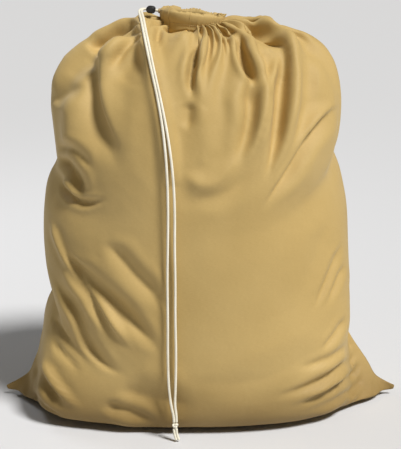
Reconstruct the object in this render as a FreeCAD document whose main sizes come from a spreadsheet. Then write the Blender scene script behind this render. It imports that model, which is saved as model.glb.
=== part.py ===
import FreeCAD, Part
import math
import os

import Sketcher
from FreeCAD import Placement, Rotation, Vector

doc = FreeCAD.newDocument("drawstring_bag")

# ---------------------------------------------------------------------------
# Driving sizes, in millimetres and degrees
# ---------------------------------------------------------------------------
SIZES = {
    # the filled bag, standing on its flat bottom
    "BodyHeight": 665.0,  # floor to the neck, where the cloth meets the casing
    "BodyWidth": 616.0,  # widest, just above the floor
    "BodyDepth": 400.0,  # front to back at the belly
    "ClothWall": 2.0,
    "PanelGap": 0.1,  # between the front and the back along the seams
    "BoreReach": 40.0,  # how far the way in through the neck is cut, up and down
    "EarLength": 45.0,  # how far each flat bottom corner sticks out
    "EarOverlap": 46.0,
    "EarRootHeight": 62.0,
    "EarTipLow": 12.0,
    "EarTipHigh": 27.0,
    "EarRootThick": 20.0,
    "EarTipThick": 5.0,
    # seam allowances inside the bag
    "SeamGap": 0.3,
    "SeamAllowance": 10.0,
    "SeamThick": 3.0,
    "BottomSeamShare": 0.76,  # length of the bottom seam as a share of BodyWidth
    # the gathered hem, a hollow ring that holds the drawstring
    "MouthOffset": -15.0,  # the mouth sits left of the middle
    "MouthTilt": 7.0,  # the left end of the mouth is the higher one
    "CasingRadius": 50.0,
    "CasingHeight": 26.0,
    "CasingThick": 12.0,
    "CasingWall": 1.2,
    "CasingGap": 0.2,
    "ThreadThick": 1.0,
    # the drawstring
    "CordThick": 4.0,
    "CordGap": 0.2,  # between the two cords where they run side by side
    "CordRise": 6.0,  # above the middle of the casing
    "CordClearance": 0.3,
    "ExitBend": 6.0,
    "BindingWall": 1.3,
    "BindingLength": 3.2,
    "NeckRun": 4.8,  # bare cord between the casing and the lock
    # the cord lock
    "LockWidth": 16.0,
    "LockThick": 12.0,
    "LockFront": 7.5,  # from the cord hole's middle to the front end
    "LockFloor": 2.2,
    "LockEdge": 1.0,
    "PlungerWidth": 11.0,
    "PlungerThick": 7.2,
    "PlungerWeb": 1.2,
    "PlungerTravel": 4.0,
    "PlungerGap": 0.3,
    "PlungerFit": 0.08,
    "HeadWidth": 13.0,
    "HeadThick": 9.0,
    "HeadLength": 3.2,
    "HoleReach": 1.0,  # how far the cord holes' cuts run past the lock
    "SpringSpace": 7.0,
    "SpringRadius": 2.4,
    "SpringWire": 0.5,
    "SpringCoils": 4.5,
    # the knot that ties the two ends together
    "KnotRadius": 5.5,
    "KnotFace": 4.3,
    "KnotHeight": 11.0,
}

sheet = doc.addObject("Spreadsheet::Sheet", "Sizes")
for row, (alias, value) in enumerate(SIZES.items(), start=1):
    sheet.set(f"A{row}", alias)
    sheet.set(f"B{row}", str(value))
    sheet.setAlias(f"B{row}", alias)
doc.recompute()

# The form of the filled bag: each level's height as a share of BodyHeight, then its
# width as a share of BodyWidth and its depth as a share of BodyDepth.
FORM = (
    (0.000, 0.870, 0.750),
    (0.068, 1.000, 0.930),
    (0.195, 0.900, 0.980),
    (0.450, 0.866, 1.000),
    (0.660, 0.802, 0.980),
    (0.812, 0.812, 0.900),
    (0.917, 0.752, 0.740),
    (0.975, 0.632, 0.600),
    (0.996, 0.440, 0.400),
)

# The two ends of the drawstring, from the lock to the knot: over the left shoulder,
# down the front of the bag and straight down to the knot.
LEFT_STRAND = (
    (-95.8, 2.1, 694.16),
    (-99.9, -0.2, 693.6),
    (-102.8, -5.2, 692.0),
    (-103.3, -12.8, 689.4),
    (-101.8, -23.5, 686.0),
    (-98.4, -43.0, 679.6),
    (-94.1, -77.0, 667.2),
    (-88.3, -116.5, 649.6),
    (-78.9, -145.5, 611.5),
    (-66.6, -172.0, 563.0),
    (-57.5, -189.5, 510.0),
    (-52.4, -199.5, 452.0),
    (-51.0, -202.8, 394.0),
    (-52.0, -203.8, 335.0),
    (-53.2, -204.1, 275.0),
    (-52.6, -203.6, 216.0),
    (-53.2, -203.2, 157.0),
    (-52.4, -202.9, 101.0),
    (-48.6, -203.0, 64.0),
    (-43.7, -203.0, 44.0),
)
RIGHT_STRAND = (
    (-95.0, -2.1, 694.07),
    (-97.7, -4.0, 693.3),
    (-99.1, -7.8, 692.0),
    (-99.1, -13.4, 690.1),
    (-97.5, -23.0, 687.0),
    (-94.1, -43.5, 680.4),
    (-89.8, -77.5, 667.6),
    (-83.8, -117.5, 649.4),
    (-74.4, -147.0, 610.5),
    (-62.1, -173.5, 562.0),
    (-50.6, -191.0, 507.0),
    (-43.0, -200.4, 449.0),
    (-40.3, -203.5, 391.0),
    (-41.2, -204.3, 332.0),
    (-40.2, -204.6, 272.0),
    (-40.8, -204.1, 213.0),
    (-39.6, -203.6, 154.0),
    (-40.6, -203.1, 98.0),
    (-42.2, -202.9, 64.0),
    (-39.5, -203.0, 46.0),
)
KNOT_MIDDLE = (-41.6, -203.0, 28.0)
LEFT_TAIL = (
    (-43.7, -203.0, 17.0),
    (-42.2, -203.6, 9.5),
    (-39.9, -204.4, 2.8),
)
RIGHT_TAIL = (
    (-39.5, -203.0, 16.6),
    (-38.0, -203.4, 9.4),
    (-35.5, -204.0, 3.0),
)

SCREEN = 2000.0  # larger than the bag, for the boxes that divide it


def size(alias):
    return float(sheet.get(alias))


def made(kind, name, base=None, turn=None, **bindings):
    """A document object whose properties follow expressions over the sheet."""
    thing = doc.addObject(kind, name)
    thing.Label = name
    if turn is not None:
        thing.Placement = Placement(Vector(), turn)
    for axis, rule in zip("xyz", base or ()):
        thing.setExpression(f"Placement.Base.{axis}", rule)
    for prop, rule in bindings.items():
        thing.setExpression(prop, rule)
    return thing


def joined(kind, name, first, second):
    thing = doc.addObject(kind, name)
    thing.Label = name
    thing.Base = first
    thing.Tool = second
    return thing


# ---------------------------------------------------------------------------
# The cloth body
# ---------------------------------------------------------------------------
TILT = Rotation(Vector(0, 1, 0), size("MouthTilt"))
NECK_DROP = "Sizes.CasingHeight / 2 + Sizes.CasingGap"


def bag_form(name, inset):
    """The bag's filled form as one smooth solid, drawn in by inset on every side."""
    levels = []
    for n, (height, width, depth) in enumerate(FORM):
        rise = f"{inset} + {height} * (Sizes.BodyHeight - 2 * ({inset}))"
        levels.append(
            made(
                "Part::Ellipse",
                f"{name}_level_{n}",
                base=("0", "0", rise),
                MajorRadius=f"{width} * Sizes.BodyWidth / 2 - ({inset})",
                MinorRadius=f"{depth} * Sizes.BodyDepth / 2 - ({inset})",
            )
        )
    neck = f"Sizes.CasingRadius - ({inset})"
    levels.append(
        made(
            "Part::Ellipse",
            f"{name}_neck",
            base=("Sizes.MouthOffset", "0", f"Sizes.BodyHeight - ({inset})"),
            turn=TILT,
            MajorRadius=neck,
            MinorRadius=neck,
        )
    )
    form = doc.addObject("Part::Loft", name)
    form.Sections = levels
    form.Solid = True
    return form


def ear(name, quarter_turn):
    """One flat bottom corner of the bag, which the filling doesn't reach."""
    return made(
        "Part::Wedge",
        name,
        turn=Rotation(Vector(0, 0, 1), quarter_turn),
        Ymin="Sizes.BodyWidth / 2 - Sizes.EarOverlap",
        Ymax="Sizes.BodyWidth / 2 + Sizes.EarLength",
        Xmin="-Sizes.EarRootThick / 2",
        Xmax="Sizes.EarRootThick / 2",
        X2min="-Sizes.EarTipThick / 2",
        X2max="Sizes.EarTipThick / 2",
        Zmin="0",
        Zmax="Sizes.EarRootHeight",
        Z2min="Sizes.EarTipLow",
        Z2max="Sizes.EarTipHigh",
    )


def half_space(name, side):
    """A box that holds everything in front of the side seams (-1) or behind them (1)."""
    start = "Sizes.PanelGap / 2" if side > 0 else f"-{SCREEN} - Sizes.PanelGap / 2"
    return made(
        "Part::Box",
        name,
        base=(f"-{SCREEN / 2}", start, f"-{SCREEN / 2}"),
        Length=f"{SCREEN}",
        Width=f"{SCREEN}",
        Height=f"{SCREEN}",
    )


outside = bag_form("outer_form", "0")
inside = bag_form("inner_form", "Sizes.ClothWall")
mouth_bore = made(
    "Part::Cylinder",
    "mouth_bore",
    base=("Sizes.MouthOffset", "0", "Sizes.BodyHeight - Sizes.BoreReach"),
    Radius="Sizes.CasingRadius - 2 * Sizes.ClothWall",
    Height="2 * Sizes.BoreReach",
)
with_left_ear = joined("Part::Fuse", "with_left_ear", outside, ear("left_ear", 90))
with_ears = joined("Part::Fuse", "with_ears", with_left_ear, ear("right_ear", -90))
hollow = joined("Part::Cut", "hollow_body", with_ears, inside)
open_body = joined("Part::Cut", "open_body", hollow, mouth_bore)
front_space = half_space("front_space", -1)
back_space = half_space("back_space", 1)
front_panel = joined("Part::Common", "front_panel", open_body, front_space)
back_panel = joined("Part::Common", "back_panel", open_body, back_space)

# ---------------------------------------------------------------------------
# Seam allowances, turned to the inside along the sides and the bottom
# ---------------------------------------------------------------------------
SEAM_OUT = "Sizes.ClothWall + Sizes.SeamGap"
SEAM_IN = f"{SEAM_OUT} + Sizes.SeamAllowance"
seam_ring = joined(
    "Part::Cut",
    "seam_ring",
    bag_form("seam_outer_form", SEAM_OUT),
    bag_form("seam_inner_form", SEAM_IN),
)
BOTTOM_SEAM_TOP = f"{SEAM_IN} + Sizes.SeamThick"


def seam(name, start, length, low, height):
    """The part of the seam ring between two upright planes and two levels."""
    slab = made(
        "Part::Box",
        f"{name}_slab",
        base=(start, "-Sizes.SeamThick / 2", low),
        Length=length,
        Width="Sizes.SeamThick",
        Height=height,
    )
    return joined("Part::Common", name, seam_ring, slab)


SIDE_SEAM_LOW = f"{BOTTOM_SEAM_TOP} + Sizes.SeamGap"
MOUTH_REACH = "(Sizes.CasingRadius + Sizes.CasingThick)"
left_side_seam = seam(
    "left_side_seam",
    "-Sizes.BodyWidth",
    f"Sizes.BodyWidth + Sizes.MouthOffset - {MOUTH_REACH}",
    SIDE_SEAM_LOW,
    "Sizes.BodyHeight",
)
right_side_seam = seam(
    "right_side_seam",
    f"Sizes.MouthOffset + {MOUTH_REACH}",
    "Sizes.BodyWidth",
    SIDE_SEAM_LOW,
    "Sizes.BodyHeight",
)
bottom_seam = seam(
    "bottom_seam",
    "-Sizes.BottomSeamShare * Sizes.BodyWidth / 2",
    "Sizes.BottomSeamShare * Sizes.BodyWidth",
    "0",
    BOTTOM_SEAM_TOP,
)

# ---------------------------------------------------------------------------
# The casing, in the mouth's own frame: X to the right, Z along the mouth's axis
# ---------------------------------------------------------------------------
MOUTH_HEIGHT = size("BodyHeight") + size("CasingHeight") / 2 + size("CasingGap")
MOUTH = Placement(Vector(size("MouthOffset"), 0, MOUTH_HEIGHT), TILT)


def place_in_mouth(body):
    """The body sits in the mouth's frame and follows the sheet."""
    body.Placement = Placement(Vector(), TILT)
    body.setExpression("Placement.Base.x", "Sizes.MouthOffset")
    body.setExpression("Placement.Base.z", f"Sizes.BodyHeight + {NECK_DROP}")


def new_body(name):
    body = doc.addObject("PartDesign::Body", name)
    body.Label = name
    place_in_mouth(body)
    return body


def new_sketch(body, name, plane, offset=None):
    """A sketch on one of the body's own origin planes, shifted along its normal by offset."""
    sketch = body.newObject("Sketcher::SketchObject", name)
    role = next(f for f in body.Origin.OriginFeatures if f.Role == plane)
    sketch.AttachmentSupport = [(role, "")]
    sketch.MapMode = "FlatFace"
    if offset is not None:
        sketch.setExpression("AttachmentOffset.Base.z", offset)
    return sketch


def slot(sketch, upright, across, up, length, width):
    """A slot with round ends, centred at (across, up): length runs up the sketch if upright,
    or else across it. All four are expressions over the sheet."""
    reach = f"(({length}) - ({width})) / 2"
    if upright:
        centres = ((across, f"{up} + {reach}"), (across, f"{up} - {reach}"))
    else:
        centres = ((f"{across} + {reach}", up), (f"{across} - {reach}", up))
    far, near = (Vector(*(float(sketch.evalExpression(r)) for r in c)) for c in centres)
    radius = float(sketch.evalExpression(f"({width}) / 2"))
    side = Vector(-radius, 0, 0) if upright else Vector(0, radius, 0)
    start = math.pi * (0 if upright else 1.5)
    normal = Vector(0, 0, 1)
    first = sketch.GeometryCount
    far_end = Part.Circle(far, normal, radius)
    near_end = Part.Circle(near, normal, radius)
    sketch.addGeometry(Part.ArcOfCircle(far_end, start, start + math.pi))
    sketch.addGeometry(Part.LineSegment(far + side, near + side))
    sketch.addGeometry(Part.ArcOfCircle(near_end, start + math.pi, start + 2 * math.pi))
    sketch.addGeometry(Part.LineSegment(near - side, far - side))
    for n in range(4):
        here, following = first + n, first + (n + 1) % 4
        sketch.addConstraint(Sketcher.Constraint("Tangent", here, 2, following, 1))
    sketch.addConstraint(Sketcher.Constraint("Equal", first, first + 2))
    line_up = "Vertical" if upright else "Horizontal"
    sketch.addConstraint(Sketcher.Constraint(line_up, first + 1))
    at = sketch.addConstraint(Sketcher.Constraint("Radius", first, radius))
    sketch.setExpression(f"Constraints[{at}]", f"({width}) / 2")
    shared = "DistanceX" if upright else "DistanceY"
    for arc, centre, rules in ((first, far, centres[0]), (first + 2, near, centres[1])):
        for kind, value, rule in zip(("DistanceX", "DistanceY"), centre, rules):
            if arc == first or kind != shared:
                at = sketch.addConstraint(Sketcher.Constraint(kind, -1, 1, arc, 3, value))
                sketch.setExpression(f"Constraints[{at}]", rule)


def feature(body, kind, name, profile, **settings):
    thing = body.newObject(kind, name)
    thing.Profile = profile
    for prop, value in settings.items():
        if isinstance(value, str):
            thing.setExpression(prop, value)
        else:
            setattr(thing, prop, value)
    body.Tip = thing
    return thing


PAIR_WIDTH = "(2 * Sizes.CordThick + Sizes.CordGap)"
BINDING_HOLE_LONG = f"({PAIR_WIDTH} + 4 * Sizes.CordClearance)"
BINDING_HOLE_WIDE = "(Sizes.CordThick + 4 * Sizes.CordClearance)"
BINDING_LONG = f"({BINDING_HOLE_LONG} + 2 * Sizes.BindingWall)"
BINDING_WIDE = f"({BINDING_HOLE_WIDE} + 2 * Sizes.BindingWall)"
CASING_OUTSIDE = "(Sizes.CasingRadius + Sizes.CasingThick / 2)"


def casing_half(name, reverse):
    """Half of the gathered hem: a hollow ring of tall section, with its share of the
    opening at the left side seam through which the drawstring leaves."""
    body = new_body(name)
    section = new_sketch(body, f"{name}_section", "XZ_Plane")
    hem = ("Sizes.CasingRadius", "0", "Sizes.CasingHeight", "Sizes.CasingThick")
    slot(section, True, *hem)
    hollow_hem = [f"({rule} - 2 * Sizes.CasingWall)" for rule in hem[2:]]
    slot(section, True, *hem[:2], *hollow_hem)
    feature(
        body,
        "PartDesign::Revolution",
        f"{name}_ring",
        section,
        ReferenceAxis=(section, ["V_Axis"]),
        Angle=180.0,
        Reversed=reverse,
    )
    doc.recompute()
    opening = new_sketch(body, f"{name}_opening", "YZ_Plane", "-Sizes.CasingRadius")
    slot(opening, False, "0", "Sizes.CordRise", BINDING_LONG, BINDING_WIDE)
    feature(
        body,
        "PartDesign::Pocket",
        f"{name}_exit",
        opening,
        Length="Sizes.CasingThick",
    )
    return body


front_casing = casing_half("front_casing", True)
back_casing = casing_half("back_casing", False)

exit_binding = new_body("exit_binding")
binding_outline = new_sketch(
    exit_binding,
    "binding_outline",
    "YZ_Plane",
    f"-({CASING_OUTSIDE} + Sizes.CasingWall)",
)
slot(binding_outline, False, "0", "Sizes.CordRise", BINDING_LONG, BINDING_WIDE)
slot(binding_outline, False, "0", "Sizes.CordRise", BINDING_HOLE_LONG, BINDING_HOLE_WIDE)
feature(
    exit_binding,
    "PartDesign::Pad",
    "binding_ring",
    binding_outline,
    Length="Sizes.BindingLength",
)

# The line of stitching that closes the casing, drawn as one thread round the neck
casing_stitching = made(
    "Part::Torus",
    "casing_stitching",
    base=(
        "Sizes.MouthOffset",
        "0",
        "Sizes.BodyHeight + Sizes.CasingGap + Sizes.ThreadThick",
    ),
    turn=TILT,
    Radius1="Sizes.CasingRadius + Sizes.CasingThick / 2",
    Radius2="Sizes.ThreadThick / 2",
)

# ---------------------------------------------------------------------------
# The cord lock, in the mouth's frame: the cord hole runs along X, the plunger along Y
# ---------------------------------------------------------------------------
LOCK_RIGHT = f"({CASING_OUTSIDE} + Sizes.CasingWall + Sizes.NeckRun)"
LOCK_MIDDLE = f"(-{LOCK_RIGHT} - Sizes.LockWidth / 2)"
HOLE_START = f"-{LOCK_RIGHT} + Sizes.HoleReach"
HOLE_LENGTH = "Sizes.LockWidth + 2 * Sizes.HoleReach"
CORD_HOLE_LONG = f"({PAIR_WIDTH} + 2 * Sizes.CordClearance)"
CORD_HOLE_WIDE = "(Sizes.CordThick + 2 * Sizes.CordClearance)"
SHAFT_END = f"({CORD_HOLE_LONG} / 2 + Sizes.PlungerWeb)"
CAVITY_END = f"({SHAFT_END} + Sizes.SpringSpace)"
HEAD_SEAT = "(Sizes.LockFront + Sizes.PlungerTravel + Sizes.PlungerGap)"
SHAFT_FIT = "2 * Sizes.PlungerFit"

lock_barrel = new_body("lock_barrel")
barrel_outline = new_sketch(lock_barrel, "barrel_outline", "XZ_Plane", "Sizes.LockFront")
slot(barrel_outline, False, LOCK_MIDDLE, "Sizes.CordRise", "Sizes.LockWidth", "Sizes.LockThick")
barrel = feature(
    lock_barrel,
    "PartDesign::Pad",
    "barrel",
    barrel_outline,
    Length=f"Sizes.LockFront + {CAVITY_END} + Sizes.LockFloor",
    Reversed=True,
)
doc.recompute()
round_ends = lock_barrel.newObject("PartDesign::Fillet", "round_ends")
round_ends.Base = (barrel, ["Face5", "Face6"])
round_ends.setExpression("Radius", "Sizes.LockEdge")
lock_barrel.Tip = round_ends
doc.recompute()
shaft_outline = new_sketch(lock_barrel, "shaft_outline", "XZ_Plane", "Sizes.LockFront")
slot(
    shaft_outline,
    False,
    LOCK_MIDDLE,
    "Sizes.CordRise",
    f"Sizes.PlungerWidth + {SHAFT_FIT}",
    f"Sizes.PlungerThick + {SHAFT_FIT}",
)
feature(
    lock_barrel,
    "PartDesign::Pocket",
    "shaft_bore",
    shaft_outline,
    Length=f"Sizes.LockFront + {CAVITY_END}",
)
cord_hole = new_sketch(lock_barrel, "cord_hole", "YZ_Plane", HOLE_START)
slot(cord_hole, False, "0", "Sizes.CordRise", CORD_HOLE_LONG, CORD_HOLE_WIDE)
feature(
    lock_barrel,
    "PartDesign::Pocket",
    "cord_bore",
    cord_hole,
    Length=HOLE_LENGTH,
)

lock_plunger = new_body("lock_plunger")
head_outline = new_sketch(lock_plunger, "head_outline", "XZ_Plane", HEAD_SEAT)
slot(head_outline, False, LOCK_MIDDLE, "Sizes.CordRise", "Sizes.HeadWidth", "Sizes.HeadThick")
head = feature(
    lock_plunger,
    "PartDesign::Pad",
    "head",
    head_outline,
    Length="Sizes.HeadLength",
)
doc.recompute()
round_head = lock_plunger.newObject("PartDesign::Fillet", "round_head")
round_head.Base = (head, ["Face6"])
round_head.setExpression("Radius", "Sizes.LockEdge")
lock_plunger.Tip = round_head
doc.recompute()
shaft_section = new_sketch(lock_plunger, "shaft_section", "XZ_Plane", HEAD_SEAT)
slot(
    shaft_section,
    False,
    LOCK_MIDDLE,
    "Sizes.CordRise",
    "Sizes.PlungerWidth",
    "Sizes.PlungerThick",
)
feature(
    lock_plunger,
    "PartDesign::Pad",
    "shaft",
    shaft_section,
    Length=f"{HEAD_SEAT} + {SHAFT_END}",
    Reversed=True,
)
doc.recompute()
grip_hole = new_sketch(lock_plunger, "grip_hole", "YZ_Plane", HOLE_START)
GRIP_LONG = f"({CORD_HOLE_LONG} + Sizes.PlungerTravel + Sizes.CordClearance)"
slot(
    grip_hole,
    False,
    "-(Sizes.PlungerTravel + Sizes.CordClearance) / 2",
    "Sizes.CordRise",
    GRIP_LONG,
    CORD_HOLE_WIDE,
)
feature(
    lock_plunger,
    "PartDesign::Pocket",
    "grip_bore",
    grip_hole,
    Length=HOLE_LENGTH,
)

# ---------------------------------------------------------------------------
# Pieces that are placed in the mouth's frame, and the drawstring
# ---------------------------------------------------------------------------
PAIR_PITCH = size("CordThick") + size("CordGap")
CORD_RADIUS = size("CordThick") / 2
CASING_REACH = size("CasingRadius") + size("CasingThick") / 2
BINDING_FACE = CASING_REACH + size("CasingWall")
LOCK_FACE = BINDING_FACE + size("NeckRun") + size("LockWidth")
ARC_SHARE = 0.45  # of the shorter of the two runs that an arc joins
VOLUME_TOLERANCE = 0.02  # of a tube's section times its length


def shaped(name, shape, placement=None):
    thing = doc.addObject("Part::Feature", name)
    thing.Label = name
    thing.Shape = shape
    if placement is not None:
        thing.Placement = placement
    return thing


def tube(path, radius):
    """A round solid along a wire of tangent lines and arcs."""
    start = path.OrderedVertexes[0].Point
    along = path.OrderedEdges[0].tangentAt(path.OrderedEdges[0].FirstParameter)
    if path.OrderedEdges[0].Orientation == "Reversed":
        along = -along
    ring = Part.Wire([Part.makeCircle(radius, start, along)])
    swept = path.makePipeShell([ring], True, True)
    section = math.pi * radius**2
    share = swept.Volume / (section * path.Length)
    if abs(share - 1) > VOLUME_TOLERANCE:
        raise ValueError(f"tube volume is {share:.3f} of section times length")
    return swept


def rounded(points):
    """Straight runs joined by tangent arcs, each as large as its two runs allow, and the
    arcs' radii."""
    corners = [Vector(*p) for p in points]
    edges, radii, last = [], [], corners[0]
    for before, corner, after in zip(corners, corners[1:], corners[2:]):
        back = (before - corner).normalize()
        on = (after - corner).normalize()
        half_turn = (math.pi - back.getAngle(on)) / 2
        trim = ARC_SHARE * min((before - corner).Length, (after - corner).Length)
        radius = trim / math.tan(half_turn)
        inward = (back + on).normalize()
        middle = corner + inward * (radius / math.cos(half_turn) - radius)
        start, end = corner + back * trim, corner + on * trim
        edges.append(Part.LineSegment(last, start).toShape())
        edges.append(Part.Arc(start, middle, end).toShape())
        radii.append(radius)
        last = end
    edges.append(Part.LineSegment(last, corners[-1]).toShape())
    return Part.Wire(edges), radii


def cord(name, points):
    path, radii = rounded(points)
    print(name, "length", round(path.Length, 1), "radii", [round(r, 1) for r in radii])
    return shaped(name, tube(path, CORD_RADIUS))


def drawstring_loop():
    """The cord inside the casing: nearly a full circle against the inner wall, with both
    ends turned out through the opening at the left."""
    inner_wall = size("CasingRadius") - size("CasingThick") / 2 + size("CasingWall")
    ring = inner_wall + size("CordClearance") + CORD_RADIUS
    bend = size("ExitBend")
    leg = PAIR_PITCH / 2
    bend_y = leg + bend
    bend_x = -math.sqrt((ring + bend) ** 2 - bend_y**2)
    share = ring / (ring + bend)
    rise = Vector(0, 0, size("CordRise"))

    def exit_edges(side):
        middle_turn = (math.pi / 2 + math.atan2(bend_y, -bend_x)) / 2
        tangent = Vector(bend_x * share, side * bend_y * share, 0) + rise
        turned = Vector(
            bend_x + bend * math.cos(middle_turn),
            side * (bend_y - bend * math.sin(middle_turn)),
            0,
        ) + rise
        leg_start = Vector(bend_x, side * leg, 0) + rise
        leg_end = Vector(-BINDING_FACE, side * leg, 0) + rise
        return tangent, [
            Part.LineSegment(leg_end, leg_start).toShape(),
            Part.Arc(leg_start, turned, tangent).toShape(),
        ]

    front_tangent, front_edges = exit_edges(-1)
    back_tangent, back_edges = exit_edges(1)
    far_side = Vector(ring, 0, 0) + rise
    circle = Part.Arc(front_tangent, far_side, back_tangent).toShape()
    path = Part.Wire([*front_edges, circle, *reversed(back_edges)])
    print("drawstring_loop length", round(path.Length, 1))
    return shaped("drawstring_loop", tube(path, CORD_RADIUS), MOUTH)


def neck_run(name, side):
    """One of the two straight cords from the casing's opening through the lock."""
    run = LOCK_FACE - BINDING_FACE
    start = Vector(-BINDING_FACE, side * PAIR_PITCH / 2, size("CordRise"))
    cylinder = Part.makeCylinder(CORD_RADIUS, run, start, Vector(-1, 0, 0))
    return shaped(name, cylinder, MOUTH)


def lock_spring():
    """The return spring, between the plunger's end and the floor of the barrel."""
    clear = size("PlungerGap") / 2 + size("SpringWire") / 2
    height = size("SpringSpace") - 2 * clear
    pitch = height / size("SpringCoils")
    coil = Part.makeHelix(pitch, height, size("SpringRadius"))
    start = Vector(size("SpringRadius"), 0, 0)
    along = Vector(0, 2 * math.pi * size("SpringRadius"), pitch).normalize()
    wire = Part.Wire([Part.makeCircle(size("SpringWire") / 2, start, along)])
    spring = Part.Wire(coil).makePipeShell([wire], True, True)
    pair = 2 * size("CordThick") + size("CordGap")
    shaft_end = pair / 2 + size("CordClearance") + size("PlungerWeb")
    middle = -LOCK_FACE + size("LockWidth") / 2
    base = Vector(middle, shaft_end + clear, size("CordRise"))
    along_y = Placement(base, Rotation(Vector(1, 0, 0), -90))
    return shaped("lock_spring", spring, MOUTH.multiply(along_y))


def end_knot():
    """The knot, between the strands above it and the tails below it."""
    body = doc.addObject("PartDesign::Body", "end_knot")
    body.Label = "end_knot"
    body.Placement = Placement(Vector(*KNOT_MIDDLE), Rotation())
    profile = new_sketch(body, "knot_profile", "XZ_Plane")
    face, half_height = size("KnotFace"), size("KnotHeight") / 2
    top, bottom = Vector(face, half_height, 0), Vector(face, -half_height, 0)
    over, under = Vector(0, half_height, 0), Vector(0, -half_height, 0)
    profile.addGeometry(Part.Arc(bottom, Vector(size("KnotRadius"), 0, 0), top))
    profile.addGeometry(Part.LineSegment(top, over))
    profile.addGeometry(Part.LineSegment(over, under))
    profile.addGeometry(Part.LineSegment(under, bottom))
    for first, second in ((0, 1), (1, 2), (2, 3)):
        meets = Sketcher.Constraint("Coincident", first, 2, second, 1)
        profile.addConstraint(meets)
    profile.addConstraint(Sketcher.Constraint("Coincident", 3, 2, 0, 1))
    profile.addConstraint(Sketcher.Constraint("Horizontal", 1))
    profile.addConstraint(Sketcher.Constraint("Horizontal", 3))
    profile.addConstraint(Sketcher.Constraint("PointOnObject", 1, 2, -2))
    profile.addConstraint(Sketcher.Constraint("Symmetric", 1, 2, 2, 2, -1))
    profile.addConstraint(Sketcher.Constraint("PointOnObject", 0, 3, -1))
    bulge = "(Sizes.KnotRadius - Sizes.KnotFace)"
    half = "(Sizes.KnotHeight / 2)"
    arc_radius = float(profile.evalExpression(f"({bulge}^2 + {half}^2) / (2 * {bulge})"))
    for rule, expression in (
        (Sketcher.Constraint("DistanceY", 2, 2, 2, 1, 2 * half_height), "Sizes.KnotHeight"),
        (Sketcher.Constraint("DistanceX", 1, 2, 1, 1, face), "Sizes.KnotFace"),
        (Sketcher.Constraint("Radius", 0, arc_radius), f"({bulge}^2 + {half}^2) / (2 * {bulge})"),
    ):
        at = profile.addConstraint(rule)
        profile.setExpression(f"Constraints[{at}]", expression)
    feature(
        body,
        "PartDesign::Revolution",
        "knot_round",
        profile,
        ReferenceAxis=(profile, ["V_Axis"]),
        Angle=360.0,
    )
    return body


def strand(name, side, points):
    start = MOUTH.multVec(Vector(-LOCK_FACE, side * PAIR_PITCH / 2, size("CordRise")))
    x, y, z = KNOT_MIDDLE
    shift = PAIR_PITCH / 2 if name.startswith("right") else -PAIR_PITCH / 2
    end = (x + shift, y, z + size("KnotHeight") / 2)
    return cord(name, (tuple(start), *points, end))


def tail(name, points):
    x, y, z = KNOT_MIDDLE
    shift = PAIR_PITCH / 2 if name.startswith("right") else -PAIR_PITCH / 2
    return cord(name, ((x + shift, y, z - size("KnotHeight") / 2), *points))


pieces = [
    front_panel,
    back_panel,
    left_side_seam,
    right_side_seam,
    bottom_seam,
    front_casing,
    back_casing,
    casing_stitching,
    exit_binding,
    drawstring_loop(),
    neck_run("left_neck_run", 1),
    neck_run("right_neck_run", -1),
    strand("left_strand", 1, LEFT_STRAND),
    strand("right_strand", -1, RIGHT_STRAND),
    end_knot(),
    tail("left_tail", LEFT_TAIL),
    tail("right_tail", RIGHT_TAIL),
    lock_barrel,
    lock_plunger,
    lock_spring(),
]

# ---------------------------------------------------------------------------
# Checks and export
# ---------------------------------------------------------------------------
doc.recompute()
for thing in doc.Objects:
    if "Invalid" in thing.State or "Error" in thing.State:
        raise ValueError(f"{thing.Label} failed: {thing.State}")
for piece in pieces:
    if piece.Shape.isNull() or not piece.Shape.isValid():
        raise ValueError(f"{piece.Label} has no valid shape")

os.makedirs("parts", exist_ok=True)
for piece in pieces:
    piece.Shape.exportStep(f"parts/{piece.Label}.step")
    box = piece.Shape.BoundBox
    print(
        f"{piece.Label:18s} solids {len(piece.Shape.Solids)} volume {piece.Shape.Volume:11.1f}"
        f"  x {box.XMin:7.1f} {box.XMax:7.1f}  y {box.YMin:7.1f} {box.YMax:7.1f}"
        f"  z {box.ZMin:7.1f} {box.ZMax:7.1f}"
    )
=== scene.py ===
import math

import bpy
import numpy as np
from mathutils import Matrix, Vector


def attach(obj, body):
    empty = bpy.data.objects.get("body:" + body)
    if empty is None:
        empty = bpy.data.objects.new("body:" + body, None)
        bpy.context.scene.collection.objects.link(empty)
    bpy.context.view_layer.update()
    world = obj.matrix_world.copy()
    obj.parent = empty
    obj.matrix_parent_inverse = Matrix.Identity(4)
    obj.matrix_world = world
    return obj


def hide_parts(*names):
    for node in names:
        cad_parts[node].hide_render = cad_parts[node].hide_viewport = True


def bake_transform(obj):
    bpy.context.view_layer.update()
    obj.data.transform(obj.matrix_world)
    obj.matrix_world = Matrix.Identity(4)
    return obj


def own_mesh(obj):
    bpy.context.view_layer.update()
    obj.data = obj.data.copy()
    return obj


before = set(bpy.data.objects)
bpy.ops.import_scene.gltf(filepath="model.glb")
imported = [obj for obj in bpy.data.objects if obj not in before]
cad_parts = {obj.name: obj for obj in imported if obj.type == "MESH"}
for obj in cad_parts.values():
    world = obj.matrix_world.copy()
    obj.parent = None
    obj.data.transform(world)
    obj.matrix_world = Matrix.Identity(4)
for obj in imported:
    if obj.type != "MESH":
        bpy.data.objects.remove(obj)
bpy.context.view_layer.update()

scene = bpy.context.scene
rng = np.random.default_rng(7)

# ---- Camera, at the photograph's viewing angle
ELEVATION = math.radians(13)
DISTANCE = 2.0
VIEW_HEIGHT = 0.7889  # metres that the frame's height spans at the middle of the bag
SENSOR = 36  # millimetres
FRAME_SHIFT = -0.0383  # the bag stands a little above the middle of the photograph
AIM = Vector((0.0, 0.0, 0.35))
EYE = AIM + DISTANCE * Vector((0.0, -math.cos(ELEVATION), math.sin(ELEVATION)))

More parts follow.
